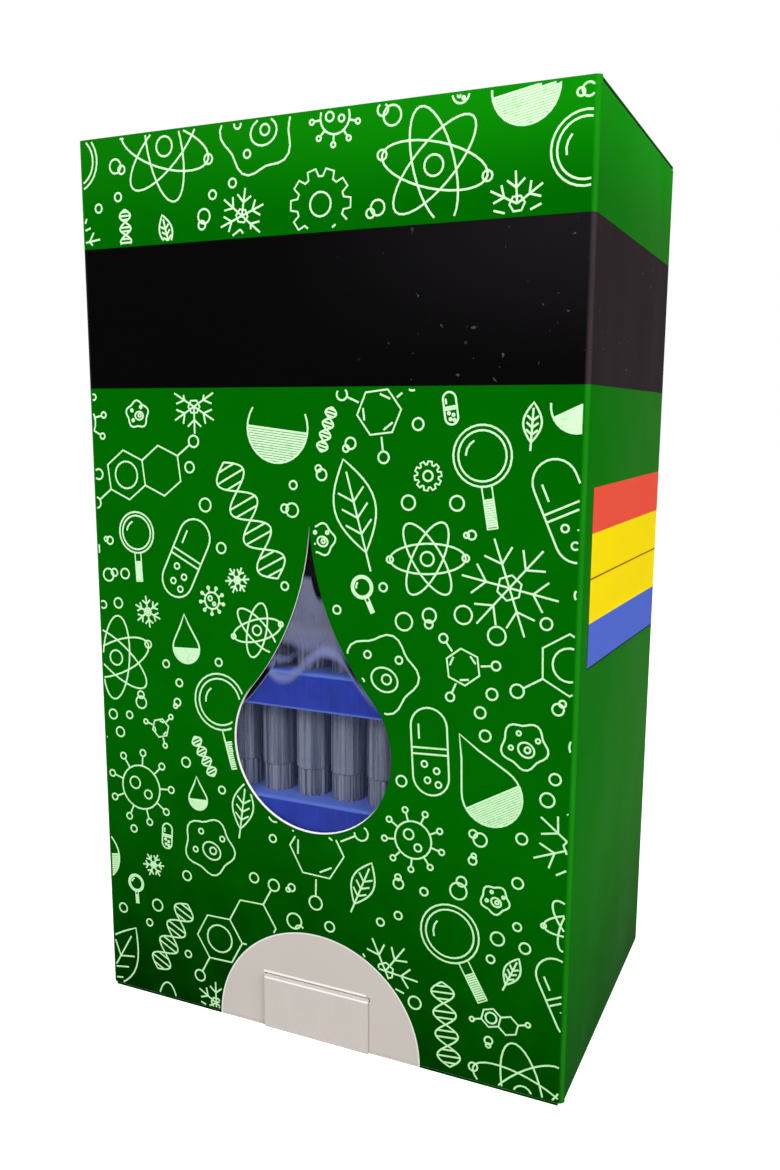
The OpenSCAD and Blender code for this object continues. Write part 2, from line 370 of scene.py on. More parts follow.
# %% Layers of print
def green_ground(place, side):
    """Green with painted shade towards the foot and the left, painted light at the top, painted
    sheen towards the back of the right wall, and slow mottling.
    """
    x, y, z = place.parts()
    # Painted shade: the green darkens towards the foot and the left.
    painted_light_up_wall = ((x.most(0.0) * shade_lean + z) * shade_fade + foot_shade).least(1.0)
    # Painted sheen: the right wall grows paler towards the back.
    side_with_sheen = y.ramp(-half_depth, half_depth).mix(GREEN_SIDE_FRONT, GREEN_SIDE_BACK_SHEEN)
    colour = painted_light_up_wall.mix(GREEN_FOOT, side.mix(GREEN, side_with_sheen))
    # Painted light: the top of the walls is brighter, more so to the right.
    painted_top_light = x.ramp(-half_width, half_width).mix(GREEN_TOP_LEFT, GREEN_TOP_RIGHT)
    colour = z.ramp(height - top_light_band, height + 1).mix(colour, painted_top_light)
    mottle = place.noise(0.12, 3.0)
    return ((mottle - 0.5) * 0.5 + 0.05).most(0.0).mix(colour, GREEN_FLECK)


def black_band(place, side):
    """Black with a painted sheen, lighter to the right, up the band and on the right wall, with
    small scuffs on the right.
    """
    x, _, z = place.parts()
    # Painted sheen on the black band: lighter to the right and towards the band's top, and lighter
    # still on the right wall.
    painted_sheen = x.ramp(half_width * -0.3, half_width * 1.2) * z.ramp(band_low, band_high)
    black = side.mix(painted_sheen.mix(BLACK, BLACK_SHEEN), BLACK_SIDE_SHEEN)
    specks = place.noise(0.6, 5.0).ramp(0.70, 0.74) * x.ramp(0, 40) * 0.4
    return specks.mix(black, SCUFF)


def cut_rims_and_lip_highlight(x, z):
    """1 along the window's lower left rim, where cut board shows, and along the slit's lip, cut
    board with a painted highlight.
    """
    beside, below = x - window_middle, z - window_foot - window_radius
    rim = (length_of(beside, below) - window_radius).within(-0.1, 0.2, 0.05)
    rim = rim * (beside * -0.6 - below * 0.8).ramp(-3, 7)
    # The slit's upper lip: a pale line that is cut board and painted highlight, as of a lip that
    # stands proud and catches the light.
    lip = z.within(slit_high - 0.3, slit_high + 0.25, 0.12)
    lip = lip * abs(x - slit_middle).ramp(slit_reach + 0.2, slit_reach - 0.2)
    return rim.most(lip)


def wall_print(place, colour, side):
    """All that is printed on the ground of the walls, and a painted highlight along their folds."""
    x, y, z = place.parts()
    front = (y * -1).ramp(half_depth - 0.4, half_depth - 0.2)
    in_band = z.within(band_low, band_high, 0.05)
    on_label, stripes = side_label(x, y, z)
    colour = on_label.mix(colour, stripes)
    colour = in_band.mix(colour, black_band(place, side))
    past_rim = length_of(x, z) - disc_radius
    colour = (front * (1 - past_rim.ramp(-0.04, 0.04))).mix(colour, DISC_RIM)
    colour = (front * (1 - past_rim.ramp(-0.4, -0.3))).mix(colour, DISC_WHITE)
    colour = (front * cut_rims_and_lip_highlight(x, z)).mix(colour, CUT_EDGE_AND_HIGHLIGHT)
    # Painted highlight along the rounded upright folds, broken up by noise.
    folds = (abs(x) - half_width).least(abs(y) - half_depth).ramp(-1.25, -0.5)
    painted_fold_highlight = folds * (place.noise(0.25, 3.0, (1, 1, 0.15)) * 0.6 + 0.1)
    return painted_fold_highlight.mix(colour, in_band.mix(GREEN_FOLD_HIGHLIGHT, BLACK_FOLD_HIGHLIGHT))


print("layers of print ready")

# %% [markdown]
# Ink lies only on the outside of the board. On the lid that is found by the way a face looks,
# because the lid reaches over the walls; on the walls it is found by the depth under the skin.

# %% Board finish
def printed_board(name, lid=False):
    """Ink on the outside, bare fibres inside, a pale line along the walls' cut edges, and painted
    shade on the lid's cut edges.
    """
    material, shader, place = start_finish(name, Specular_IOR_Level=INK_GLOSS)
    x, y, z = place.parts()
    _, to_back, up = facing(material).parts()
    side = x.ramp(half_width - 0.6, half_width - 0.4)
    ink = green_ground(place, side)
    depth = skin_depth(x, y)
    if lid:
        outside = up.ramp(0.25, 0.35).most((to_back * -1).ramp(0.25, 0.35))
    else:
        ink = wall_print(place, ink, side)
        flaps = up.ramp(0.2, 0.3) * z.within(height - 1.5, height - 0.55, 0.01)
        outside = depth.ramp(-0.12, -0.06).most(flaps).most(1 - z.ramp(0.05, 0.1))
    fibres = (place.noise(1.6, 4.0, (1, 1, 0.4)) - 0.5) * 0.3
    bare = (fibres + 0.5).ramp(0.3, 0.7).mix(BOARD_DARK, BOARD_LIGHT)
    cut = depth.within(0.06 - board, 0.1, 0.02)
    # The lid's cut edges take the painted shaded green, not bare board.
    bare = cut.mix(bare, LID_EDGE_SHADE if lid else CUT_EDGE_AND_HIGHLIGHT)
    feed(shader, "Base Color", outside.mix(bare, ink))
    varnish = place.noise(0.35, 3.0) * 0.1
    feed(shader, "Roughness", outside * (varnish - 0.42) + 0.76)
    raise_surface(shader, board_grain(place))
    return material


dress("carton", printed_board("printed_board_carton"))
dress("lid", printed_board("printed_board_lid", lid=True))
print("board finished:", [m.name for m in nodes["carton"].data.materials])

# %% [markdown]
# The locking tab is the same board seen from its white side. It has no print at all, only
# short fibres, slow clouds of grey and a painted highlight where it bends into its slit. The card
# stand under the racks is rougher grey card.

# %% Locking tab and card stand
def bare_board(name, low, high, grain, bend=-1):
    """Unprinted board or card between two tones, its fibres upright.

    It has a painted highlight at the height of a bend; a bend under the floor leaves no line.
    """
    material, shader, place = start_finish(name, Specular_IOR_Level=0.35)
    fibre = place.noise(grain, 4.0, (1, 1, 0.35))
    cloud = place.noise(0.15, 2.0)
    tone = (fibre * 0.6 + cloud * 0.4).ramp(0.3, 0.7).mix(low, high)
    # Painted highlight: a pale line across the board where it bends.
    painted_bend_highlight = place.parts()[2].within(bend - 0.25, bend + 0.25, 0.12)
    feed(shader, "Base Color", painted_bend_highlight.mix(tone, CUT_EDGE_AND_HIGHLIGHT))
    feed(shader, "Roughness", fibre * 0.15 + 0.55)
    raise_surface(shader, fibre * 0.01 + cloud * 0.08)
    return material


white_board = bare_board(
    "white_board", paint(202, 193, 187), paint(206, 198, 192), 1.8, bend=slit_low
)
grey_card = bare_board("grey_card", paint(128, 122, 112), paint(158, 152, 141), 1.2)
dress("locking_tab", white_board)
dress("riser", grey_card)
print("bare boards finished")

# %% [markdown]
# ## Racks
# Each rack is moulded in deep blue polypropylene. The plastic is satin, with a painted highlight
# along the top plate's rounded edge and along the skirt's foot, and the skirt shows the faint
# uprights that a mould leaves. Very slight blotches keep the large faces from looking painted.

# %% Rack finish
BLUE_DEEP = paint(14, 36, 138)
BLUE = paint(24, 52, 166)
BLUE_HIGHLIGHT = paint(96, 124, 208)
racks = sorted(name for name in nodes if name.startswith("deck_"))
rack_tops = [box_mm(rack)[1].z for rack in racks]
rack_pitch = rack_tops[1] - rack_tops[0]
rack_skirt = rack_tops[0] - box_mm(racks[0])[0].z


def rack_plastic():
    """Deep blue, with a painted highlight along the plate's rim and the skirt's foot."""
    material, shader, place = start_finish("blue_plastic", Specular_IOR_Level=0.1)
    z = place.parts()[2]
    cloud = place.noise(0.25, 2.0)
    draw = place.noise(1.4, 3.0, (1, 1, 0.08))
    tone = (cloud * 0.6 + draw * 0.4).ramp(0.3, 0.7)
    colour = tone.mix(BLUE_DEEP, BLUE)
    # Painted highlight: pale lines along the top plate's rounded rim and along the skirt's foot.
    above_foot = (z + rack_skirt - rack_tops[0]).past_step(rack_pitch)
    lines = above_foot.within(rack_skirt - 0.7, rack_skirt + 0.2, 0.15) * 0.6
    lines = lines.most((1 - above_foot.ramp(0.3, 0.5)) * 0.7)
    feed(shader, "Base Color", lines.mix(colour, BLUE_HIGHLIGHT))
    feed(shader, "Roughness", draw * 0.12 + 0.3)
    raise_surface(shader, draw * 0.03 + place.noise(3.0, 2.0) * 0.006)
    return material


blue_plastic = rack_plastic()
for rack in racks:
    dress(rack, blue_plastic)
print(len(racks), "racks,", round(rack_pitch, 1), "mm apart")

# %% [markdown]
# ## Tips
# A tip is thin clear plastic, so it looks grey-white where a ray grazes its wall and
# almost vanishes where it is seen square on. A clear share that falls towards the edges
# gives that look. The collar at the foot of each barrel is ribbed: the ribs follow the angle
# round each tip's own axis, found from the 9 mm lattice of the rack.

# %% Tip finish
TIP_GREY = paint(80, 86, 108)
TIP_PALE = paint(166, 172, 192)
TIP_RIM = paint(222, 226, 238)
TIP_CLEAR = paint(232, 236, 246)
tip_pitch = 9
rib_count = 16
barrel_radius = 3.4
collar_height, rings_top, barrel_height = 6.2, 8.6, 21.4


def tip_plastic():
    """Streaked clear plastic: a ribbed collar, a ridge and a groove over it, a pale rim."""
    material, shader, place = start_finish(
        "tip_plastic", Specular_IOR_Level=0.25, Roughness=0.28
    )
    x, y, z = place.parts()
    from_axis_x = x.past_step(tip_pitch) - tip_pitch / 2
    from_axis_y = y.past_step(tip_pitch) - tip_pitch / 2
    angle = from_axis_y.math("ARCTAN2", from_axis_x)
    above = (z - rack_tops[0]).past_step(rack_pitch)
    from_axis = length_of(from_axis_x, from_axis_y)
    outer = from_axis.ramp(barrel_radius - 0.05, barrel_radius + 0.05)
    collar = above.within(0.2, collar_height, 0.15) * outer
    ribs = (angle * rib_count).sine() * collar
    rings = ((above - collar_height) * 2.4).sine() * above.within(collar_height, rings_top, 0.1)
    rings = rings * outer
    rim = above.within(barrel_height - 0.5, barrel_height + 0.1, 0.1)
    streaks = place.noise(1.1, 3.0, (1, 1, 0.015))
    colour = streaks.ramp(0.34, 0.66).mix(TIP_GREY, TIP_PALE)
    feed(shader, "Base Color", (rim * 0.8).mix(colour, TIP_RIM))
    raise_surface(shader, ribs * 0.22 + rings * 0.08 + streaks * 0.1)
    edge = place.node("ShaderNodeLayerWeight", {"Blend": 0.45}, output=1)
    solid = (edge * 0.5 + 0.42 + rim * 0.4 + collar * 0.15).least(1.0)
    clear = material.node_tree.nodes.new("ShaderNodeBsdfTransparent")
    clear.inputs["Color"].default_value = TIP_CLEAR
    show(material.node_tree, solid, clear, shader)
    return material


tip_finish = tip_plastic()
tip_rows = [name for name in nodes if name.startswith("tips_")]
for tip_row in tip_rows:
    dress(tip_row, tip_finish)
print(len(tip_rows), "rows of tips")

# %% [markdown]
# ## Window film
# The film is glued inside the front wall and never lies quite flat. On it are painted a wavy
# gleam across the upper rack and a grey glare above it, both painted reflection, and darkness in
# the narrow top, painted shade and dark reflection, and along the flanks, painted shade. The clear
# share of the film is worked out from those zones, and slow bumps bend what it mirrors. The
# window's flanks are arcs, so the dark strips along them are found by the distance from the arcs'
# middles.

# %% The zones of the film
# Colours of the painted reflections on the film: the gleam's bluish white and the glare's grey.
GLEAM_BLUE = paint(140, 152, 206)
GLARE_GREY = paint(112, 110, 122)
# Near black for the painted shade and dark reflection in the apex and along the flanks.
FILM_SHADE = paint(6, 5, 10)
apex_lean = math.radians(3)
gleam_level, gleam_rise, gleam_length, gleam_start = 89.7, 3.7, 23, -2.6
glare_foot, glare_head = (93, 98), (108, 111.5)
dark_apex, dark_right_top = (107.5, 111), (102, 107)
dark_right, dark_left = (85, 94, 6), (79, 89, 2)


def flank_circle():
    """Middle and radius of the arc that draws the window's right flank up to its apex."""
    rise = window_top - window_foot - window_radius
    radius = (rise**2 - window_radius**2) / 2 / (window_radius - rise * math.sin(apex_lean))
    return radius * math.cos(apex_lean), window_top + radius * math.sin(apex_lean), radius


def gleams(x, z, wander):
    """Painted reflection: the wavy gleam across the upper rack, and a flatter one left of it,
    above.
    """
    wave = ((x - gleam_start) * (2 * math.pi / gleam_length)).sine() * gleam_rise + gleam_level
    first = (1 - abs(z - wave + wander).ramp(0.1, 2.0)) * x.within(-17, 15, 4)
    second = (1 - abs(z - wave * 0.6 - 39 - wander * 5).ramp(0.2, 1.2)) * x.within(-19, -6, 4)
    return first * 0.34 + second * 0.22


def painted_grey_glare(place, z, wander):
    """Painted grey glare, a reflection, between the gleam and the dark apex, with upright streaks.
    """
    glare = (z + wander * 9).ramp(*glare_foot) * (1 - z.ramp(*glare_head))
    return glare * (0.72 + (place.noise(0.8, 3.0, (1, 1, 0.1)) - 0.5) * 0.7)


def darkness(x, z, wander):
    """1 in the apex, painted shade and dark reflection, and along the flanks, painted shade by the
    board.
    """
    flank_x, flank_z, flank = flank_circle()
    from_right = length_of(x - window_middle - flank_x, z - flank_z) - flank
    from_left = length_of(x - window_middle + flank_x, z - flank_z) - flank
    dark = (z + wander * 4).ramp(*dark_apex) * 0.95
    dark = dark.most((1 - from_right.ramp(0.6, 1.9)) * z.within(*dark_right) * 0.8)
    dark = dark.most((1 - from_right.ramp(1.1, 2.2)) * z.ramp(*dark_right_top))
    return dark.most((1 - from_left.ramp(0.8, 1.4)) * z.within(*dark_left) * 0.8)


print("gleam", gleam_level, "mm up, one wave in", gleam_length, "mm")

# %% Film finish
def film_finish():
    """Clear film with painted gleams and grey glare as painted reflection, and painted shade in its
    apex and flanks.
    """
    material, shader, place = start_finish(
        "clear_film", Roughness=0.14, Specular_IOR_Level=0.03
    )
    x, _, z = place.parts()
    wander = place.noise(0.12, 2.0) - 0.5
    glare, dark = painted_grey_glare(place, z, wander), darkness(x, z, wander)
    # The painted reflections' colour: bluish white in the gleams, grey in the glare.
    shade = glare.mix(GLEAM_BLUE, GLARE_GREY)
    # Painted shade and dark reflection darken the apex and the flanks.
    feed(shader, "Base Color", dark.ramp(0.2, 0.8).mix(shade, FILM_SHADE))
    raise_surface(shader, (z * 0.5 + x * 0.22).sine() * 0.25 + wander * 2.0)
    mirror = place.node("ShaderNodeFresnel", {"IOR": 1.5})
    solid = (gleams(x, z, wander) + glare * 0.85 + 0.02).most(dark)
    solid = (solid + mirror * 0.1).least(0.97)
    clear = material.node_tree.nodes.new("ShaderNodeBsdfTransparent")
    show(material.node_tree, solid, clear, shader)
    return material


dress("window_film", film_finish())
print("film finished")

# %% [markdown]
# ## Printed drawings
# The white drawings are a scatter of laboratory and nature signs: molecules, cells, drops,
# leaves, crystals. Each is drawn once as a thin wire of edges, copied over the front, cut
# where the band, the disc and the window are, and only then given the width of a pen line.
# Real ink is some hundredths of a millimetre thick, and so are these strokes.

# %% Pen strokes as wires
def deselect():
    """Leaves no object selected."""
    for other in bpy.context.selected_objects:
        other.select_set(False)


def edit(select_mode):
    """Goes into edit mode, to select corners or edges."""
    bpy.ops.object.mode_set(mode="EDIT")
    bpy.ops.mesh.select_mode(type=select_mode)


def wire_ring(radius_x, radius_z, corners, at=(0, 0), turned=0.0):
    """A closed wire in the upright plane: a circle, an oval or a regular outline."""
    deselect()
    bpy.ops.mesh.primitive_circle_add(vertices=corners, radius=1, location=(at[0], 0, at[1]))
    ring = bpy.context.object
    ring.scale = (radius_x, radius_z, 1)
    ring.rotation_euler = (math.pi / 2, turned, 0)
    bpy.ops.object.transform_apply()
    return ring


def wire_line(points, closed=False):
    """A wire through points: a ring with as many corners, each moved to its place.

    A ring has three corners at least, so the third one of a straight line goes to its middle.
    An open wire loses the edge between its two ends.
    """
    ring = wire_ring(1, 1, max(3, len(points)))
    mesh = ring.data
    for vertex, point in zip(mesh.vertices, points):
        vertex.co = (point[0], 0, point[1])
    ends = {0, len(points) - 1}
    if len(points) == 2:
        mesh.vertices[2].co = (mesh.vertices[0].co + mesh.vertices[1].co) / 2
    if not closed:
        edit("EDGE")
        bpy.ops.mesh.select_all(action="DESELECT")
        bpy.ops.object.mode_set(mode="OBJECT")
        for edge in mesh.edges:
            edge.select = set(edge.vertices) == ends
        edit("EDGE")
        bpy.ops.mesh.delete(type="EDGE")
        bpy.ops.object.mode_set(mode="OBJECT")
    return ring


def joined(parts, name):
    """Several wires as one object."""
    deselect()
    for part in parts:
        part.select_set(True)
    bpy.context.view_layer.objects.active = parts[0]
    if len(parts) > 1:
        bpy.ops.object.join()
    parts[0].name = name
    return parts[0]


def polar(radius, degrees):
    """A point on a circle about the origin."""
    return radius * math.cos(math.radians(degrees)), radius * math.sin(math.radians(degrees))


print("pen ready")

# %% [markdown]
# Each sign is a few rings and lines about its own middle, some 10 to 20 mm across. They
# are worked out from circles, angles and simple waves, as one would with compasses. First
# come the molecules, and what is made of circles and ovals.

# %% Signs made of rings
def molecule():
    """A six-sided ring with three double bonds and three arms ending in small circles."""
    wires = [wire_ring(5, 5, 6, turned=math.pi / 6)]
    for k in range(3):
        a, b = polar(3.7, 120 * k + 40), polar(3.7, 120 * k + 80)
        wires.append(wire_line([a, b]))
        wires.append(wire_line([polar(5, 120 * k + 30), polar(8, 120 * k + 30)]))
        wires.append(wire_ring(1.2, 1.2, 16, at=polar(9.2, 120 * k + 30)))
    return joined(wires, "molecule")


def fused_rings():
    """Two six-sided rings that share a side, drawn once, with an arm at each end."""
    apart = 4.4 * math.cos(math.pi / 6)
    second = [(x + apart, z) for x, z in (polar(4.4, a) for a in range(210, 511, 60))]
    wires = [wire_ring(4.4, 4.4, 6, at=(-apart, 0)), wire_line(second)]
    wires.append(wire_ring(2.4, 2.4, 20, at=(-apart, 0)))
    for side in (-1, 1):
        start = (side * 2 * apart, side * 2.2)
        end = (start[0] + side * 2.8, start[1] + side * 1.6)
        wires.append(wire_line([start, end]))
        wires.append(wire_ring(1, 1, 14, at=(end[0] + side * 0.9, end[1] + side * 0.5)))
    return joined(wires, "fused_rings")


def atom():
    """Three oval orbits about a nucleus, with two electrons."""
    wires = [wire_ring(8, 3, 32, turned=math.pi * k / 3) for k in range(3)]
    wires.append(wire_ring(1.4, 1.4, 16))
    wires += [wire_ring(0.7, 0.7, 10, at=polar(8, 180 * k)) for k in range(2)]
    return joined(wires, "atom")


def cell():
    """A wobbly outline with a nucleus and a few grains."""
    wall = [polar(6 + 0.6 * math.sin(math.radians(5 * a)), a) for a in range(0, 360, 10)]
    wires = [wire_line(wall, True), wire_ring(2.3, 1.9, 20, at=(1, -0.6))]
    wires.append(wire_ring(0.8, 0.8, 12, at=(1.3, -0.4)))
    wires += [wire_ring(0.6, 0.6, 10, at=p) for p in ((-3, 2), (-2.6, -2.6), (2.2, 3.4))]
    return joined(wires, "cell")


def spore():
    """A ball with knobbed spikes all round."""
    wires = [wire_ring(4, 4, 24), wire_ring(1.1, 1.1, 12, at=(-1.2, 0.8))]
    for k in range(9):
        wires.append(wire_line([polar(4, 40 * k), polar(5.8, 40 * k)]))
        wires.append(wire_ring(0.6, 0.6, 10, at=polar(6.4, 40 * k)))
    wires.append(wire_ring(0.8, 0.8, 12, at=(1.4, -1.2)))
    return joined(wires, "spore")


print("five signs made of rings")

# %% [markdown]
# Next come the signs that are mostly lines: two waves that cross, veins, frost and teeth.

# %% Signs made of lines
def helix():
    """Two crossing waves with rungs between them."""
    steps = [0.5 * k for k in range(-20, 21)]
    wave = [(2.7 * math.sin(s * math.pi / 5), s) for s in steps]
    wires = [wire_line(wave), wire_line([(-x, z) for x, z in wave])]
    for s in steps[2:-1:3]:
        reach = 2.7 * math.sin(s * math.pi / 5)
        if abs(reach) > 1:
            wires.append(wire_line([(reach, s), (-reach, s)]))
    return joined(wires, "helix")


def leaf():
    """A pointed leaf with its veins and a stalk."""
    half = [(3.6 * math.sin(math.radians(a)), a / 12 - 7) for a in range(0, 181, 15)]
    outline = half + [(-x, z) for x, z in reversed(half[1:-1])]
    wires = [wire_line(outline, True), wire_line([(0, -10), (0, -4), (0, 6)])]
    for z in (-4, -1.4, 1.2):
        wires += [wire_line([(0, z), (side * 2.3, z + 1.9)]) for side in (-1, 1)]
    return joined(wires, "leaf")


def crystal():
    """Six branched arms, as in frost: three lines that cross, with two twigs to an arm."""
    wires = [wire_line([polar(7, 60 * k), polar(-7, 60 * k)]) for k in range(3)]
    for k in range(6):
        for side in (-22, 22):
            wires.append(wire_line([polar(3.4, 60 * k), polar(5.6, 60 * k + side)]))
    wires.append(wire_ring(1.8, 1.8, 6))
    return joined(wires, "crystal")


def gear():
    """A toothed wheel with a hub."""
    teeth = []
    for k in range(10):
        for radius, turned in ((5, -13), (6.4, -8), (6.4, 8), (5, 13)):
            teeth.append(polar(radius, 36 * k + turned))
    return joined([wire_line(teeth, True), wire_ring(2.2, 2.2, 20)], "gear")


print("four signs made of lines")

# %% [markdown]
# The last three have a body. Level strokes laid close together read as white, so they fill
# the foot of the drop and the handle of the lens.

# %% Signs with a body
hatch_step = 0.36


def hatching(low, high, half):
    """Level strokes laid close, which read as solid white; half(z) is half their length."""
    strokes = []
    z = low
    while z < high:
        strokes.append(wire_line([(-half(z), z), (half(z), z)]))
        z += hatch_step
    return strokes


def drop():
    """A drop half full."""
    low = [polar(5, a) for a in range(150, 391, 12)]
    outline = [(x, z - 2) for x, z in low] + [(1.6, 5.4), (0, 9), (-1.6, 5.4)]
    level = wire_line([(-4.9, -2.2), (4.9, -2.2)])
    fill = hatching(-6.6, -2.2, lambda z: math.sqrt(24 - (z + 2) ** 2))
    return joined([wire_line(outline, True), level] + fill, "drop")


def capsule():
    """A two-part capsule with a band and grains in its lower half."""
    top = [(x, z + 4) for x, z in (polar(3, a) for a in range(0, 181, 15))]
    foot = [(x, z - 4) for x, z in (polar(3, a) for a in range(180, 361, 15))]
    wires = [wire_line(top + foot, True), wire_line([(-3, 0.6), (3, 0.6)])]
    wires.append(wire_line([(-3, -0.4), (3, -0.4)]))
    wires.append(wire_line([(-1.7, 2), (-1.7, 4.4)]))
    grains = ((-1, -2), (1, -3), (-0.6, -4.6), (1.2, -5.2))
    wires += [wire_ring(0.5, 0.5, 10, at=p) for p in grains]
    return joined(wires, "capsule")


def lens():
    """A hand lens: two rims, a shine and a handle."""
    wires = [wire_ring(4.6, 4.6, 28, at=(0, 3)), wire_ring(3.8, 3.8, 28, at=(0, 3))]
    wires.append(wire_line([(-0.8, -1.6), (-0.8, -8), (0.8, -8), (0.8, -1.6)], True))
    wires += hatching(-7.6, -3.6, lambda z: 0.7)
    shine = [polar(2.6, a) for a in (110, 130, 150, 170)]
    wires.append(wire_line([(x, z + 3) for x, z in shine]))
    return joined(wires, "lens")


signs = [draw() for draw in (
    molecule, drop, helix, cell, crystal, capsule, atom, leaf, fused_rings, lens, spore, gear
)]
print(len(signs), "signs:", ", ".join(sign.name for sign in signs))

# %% [markdown]
# The sheet of drawings is cut along three outlines: the black band, the disc round the tab
# and the teardrop window. They are worked out first, as rules that tell whether a place is
# cut away, because a sign that would lose more than a third of itself is better left out.

# %% Where the sheet is cut
band_gap, disc_gap, window_gap = 0.6, 0.5, 0.9
near_outside, near_inside = 5, 4


def in_drop(x, z, margin):
    """True inside the teardrop window's outline, grown by a margin."""
    centre = window_foot + window_radius
    flank_x, flank_z, flank = flank_circle()
    x -= window_middle
    if math.hypot(x, z - centre) < window_radius + margin:
        return True
    touch = centre + window_radius * (flank_z - centre) / (window_radius + flank)
    beside = math.hypot(abs(x) - flank_x, z - flank_z) > flank - margin
    return touch < z < window_top + margin and abs(x) < window_radius and beside


def near_curve(x, z):
    """True close to the window's outline or the disc's, on either side."""
    in_window = in_drop(x, z, near_outside) and not in_drop(x, z, -near_inside)
    return in_window or abs(math.hypot(x, z) - disc_radius) < near_outside


def cut_away(x, z):
    """True on the band, on the disc and in the window, with a narrow margin."""
    on_band = band_low - band_gap < z < band_high + band_gap
    on_disc = math.hypot(x, z) < disc_radius + disc_gap
    return on_band or on_disc or in_drop(x, z, window_gap)


print("three outlines cut the sheet")

# %% [markdown]
# The signs are scattered as on wrapping paper: large ones first, then smaller ones into the
# room that is left, each turned its own way, and bubbles last. To keep them apart, the sheet
# is ruled into small squares and every sign marks the squares under its lines. A new sign is
# only put where its squares are free.

# %% Free and taken squares
square = 1.15


def line_points(mesh):
    """Places along a sign's lines, and the same pulled in towards its middle."""
    points = []
    for edge in mesh.edges:
        a, b = (mesh.vertices[i].co for i in edge.vertices)
        steps = max(1, round((a - b).length / square))
        points += [a.lerp(b, k / steps) for k in range(steps)]
    return [(p.x * pull, p.z * pull) for p in points for pull in (1, 0.75, 0.5, 0.25)]


def squares_under(points, x, z, size, turned):
    """The squares of the sheet under a sign that is put down at x, z."""
    c, s = size * math.cos(turned), size * math.sin(turned)
    return {(round((x + c * u + s * v) / square), round((z - s * u + c * v) / square))
            for u, v in points}


def claim(squares, taken, loss):
    """Marks free squares and those next to them; False if one is taken or many are cut."""
    lost = sum(cut_away(i * square, k * square) for i, k in squares)
    if squares & taken or lost > loss * len(squares):
        return False
    taken.update((i + a, k + b) for i, k in squares for a in (-1, 0, 1) for b in (-1, 0, 1))
    return True


outlines = [line_points(sign.data) for sign in signs]
print("sheet ruled into squares of", square, "mm")

# %% [markdown]
# Each round of the scatter has its least and largest size, how far apart two signs of a kind
# must stand, and its number of tries. About a third of a sign may be cut off. A fixed seed
# makes the same sheet each time.

# %% Scatter over the front
sign_loss = 0.35
most_turned = 32
overhang = 4
rounds = (
    (1.3, 1.5, 52, 300), (1.0, 1.15, 44, 800), (0.7, 0.85, 32, 1200), (0.45, 0.55, 24, 1200)
)


def put_down(which, x, z, size, turned):
    """A copy of a sign with its own mesh, turned and sized, at its place on the sheet."""
    sign = signs[which].copy()
    sign.data = signs[which].data.copy()
    bpy.context.scene.collection.objects.link(sign)
    sign.data.transform(
        Matrix.Translation((x, 0, z)) @ Matrix.Rotation(turned, 4, "Y") @ Matrix.Scale(size, 4)
    )
    return sign


random.seed(3)
taken = set()
spots = []
placed = []
for smallest, largest, apart, tries in rounds:
    for _ in range(tries):
        x = random.uniform(-half_width - overhang, half_width + overhang)
        z = random.uniform(-overhang, height + overhang)
        which = random.randrange(len(signs))
        turned = math.radians(random.uniform(-most_turned, most_turned))
        size = random.uniform(smallest, largest)
        near = any(k == which and math.hypot(x - a, z - b) < apart for a, b, k in spots)
        if near:
            continue
        squares = squares_under(outlines[which], x, z, size, turned)
        if claim(squares, taken, sign_loss):
            placed.append(put_down(which, x, z, size, turned))
            spots.append((x, z, which))
print(len(placed), "signs placed")

# %% [markdown]
# Bubbles fill the gaps that are left. Two in five have a smaller one at their side.

# %% Bubbles in the gaps
bubble_tries = 2200
bubble_radii = (0.9, 1.2, 1.5, 1.9)
with_small_one = 0.4
small_share, small_aside = 0.6, 1.25
circle_points = [polar(pull, a) for a in range(0, 360, 20) for pull in (1, 0.5)]
bubbles = 0
for _ in range(bubble_tries):
    x, z = random.uniform(-half_width, half_width), random.uniform(0, height)
    radius = random.choice(bubble_radii)
    if claim(squares_under(circle_points, x, z, radius, 0), taken, 0):
        placed.append(wire_ring(radius, radius, 16, at=(x, z)))
        bubbles += 1
        if random.random() < with_small_one:
            aside, up = polar(radius * small_aside, random.uniform(0, 360))
            small = radius * small_share
            placed.append(wire_ring(small, small, 12, at=(x + aside, z + up)))
drawing = joined(placed, "print_front")
for sign in signs:
    bpy.data.objects.remove(sign)
print(bubbles, "bubbles,", len(drawing.data.edges), "edges in all")

# %% [markdown]
# The sheet of drawings is trimmed like print under a knife. Long edges near the disc and the
# window are first divided, so that the cut runs close to the curve; then what lies on the
# band, on the disc, in the window or past the wall is selected by its place and deleted.

# %% Trim the drawings
longest_near_curve = 0.7
foot_margin, top_margin, band_margin = 1.0, 0.6, 0.3
front_edge = half_width - fold_radius
outer_planes = [
    ((-front_edge, 0, 0), (-1, 0, 0)), ((front_edge, 0, 0), (1, 0, 0)),
    ((0, 0, foot_margin), (0, 0, -1)), ((0, 0, height - top_margin), (0, 0, 1)),
]
deselect()
drawing.select_set(True)
bpy.context.view_layer.objects.active = drawing
mesh = drawing.data
edit("EDGE")
bpy.ops.mesh.select_all(action="DESELECT")
bpy.ops.object.mode_set(mode="OBJECT")
for edge in mesh.edges:
    a, b = (mesh.vertices[i].co for i in edge.vertices)
    mid = (a + b) / 2
    edge.select = near_curve(mid.x, mid.z) and (a - b).length > longest_near_curve
edit("EDGE")
bpy.ops.mesh.subdivide(number_cuts=4)
for point, normal in outer_planes:
    bpy.ops.mesh.select_all(action="SELECT")
    bpy.ops.mesh.bisect(plane_co=point, plane_no=normal, clear_outer=True)
for level in (band_low - band_margin, band_high + band_margin):
    bpy.ops.mesh.select_all(action="SELECT")
    bpy.ops.mesh.bisect(plane_co=(0, 0, level), plane_no=(0, 0, 1))
edit("VERT")
bpy.ops.mesh.select_all(action="DESELECT")
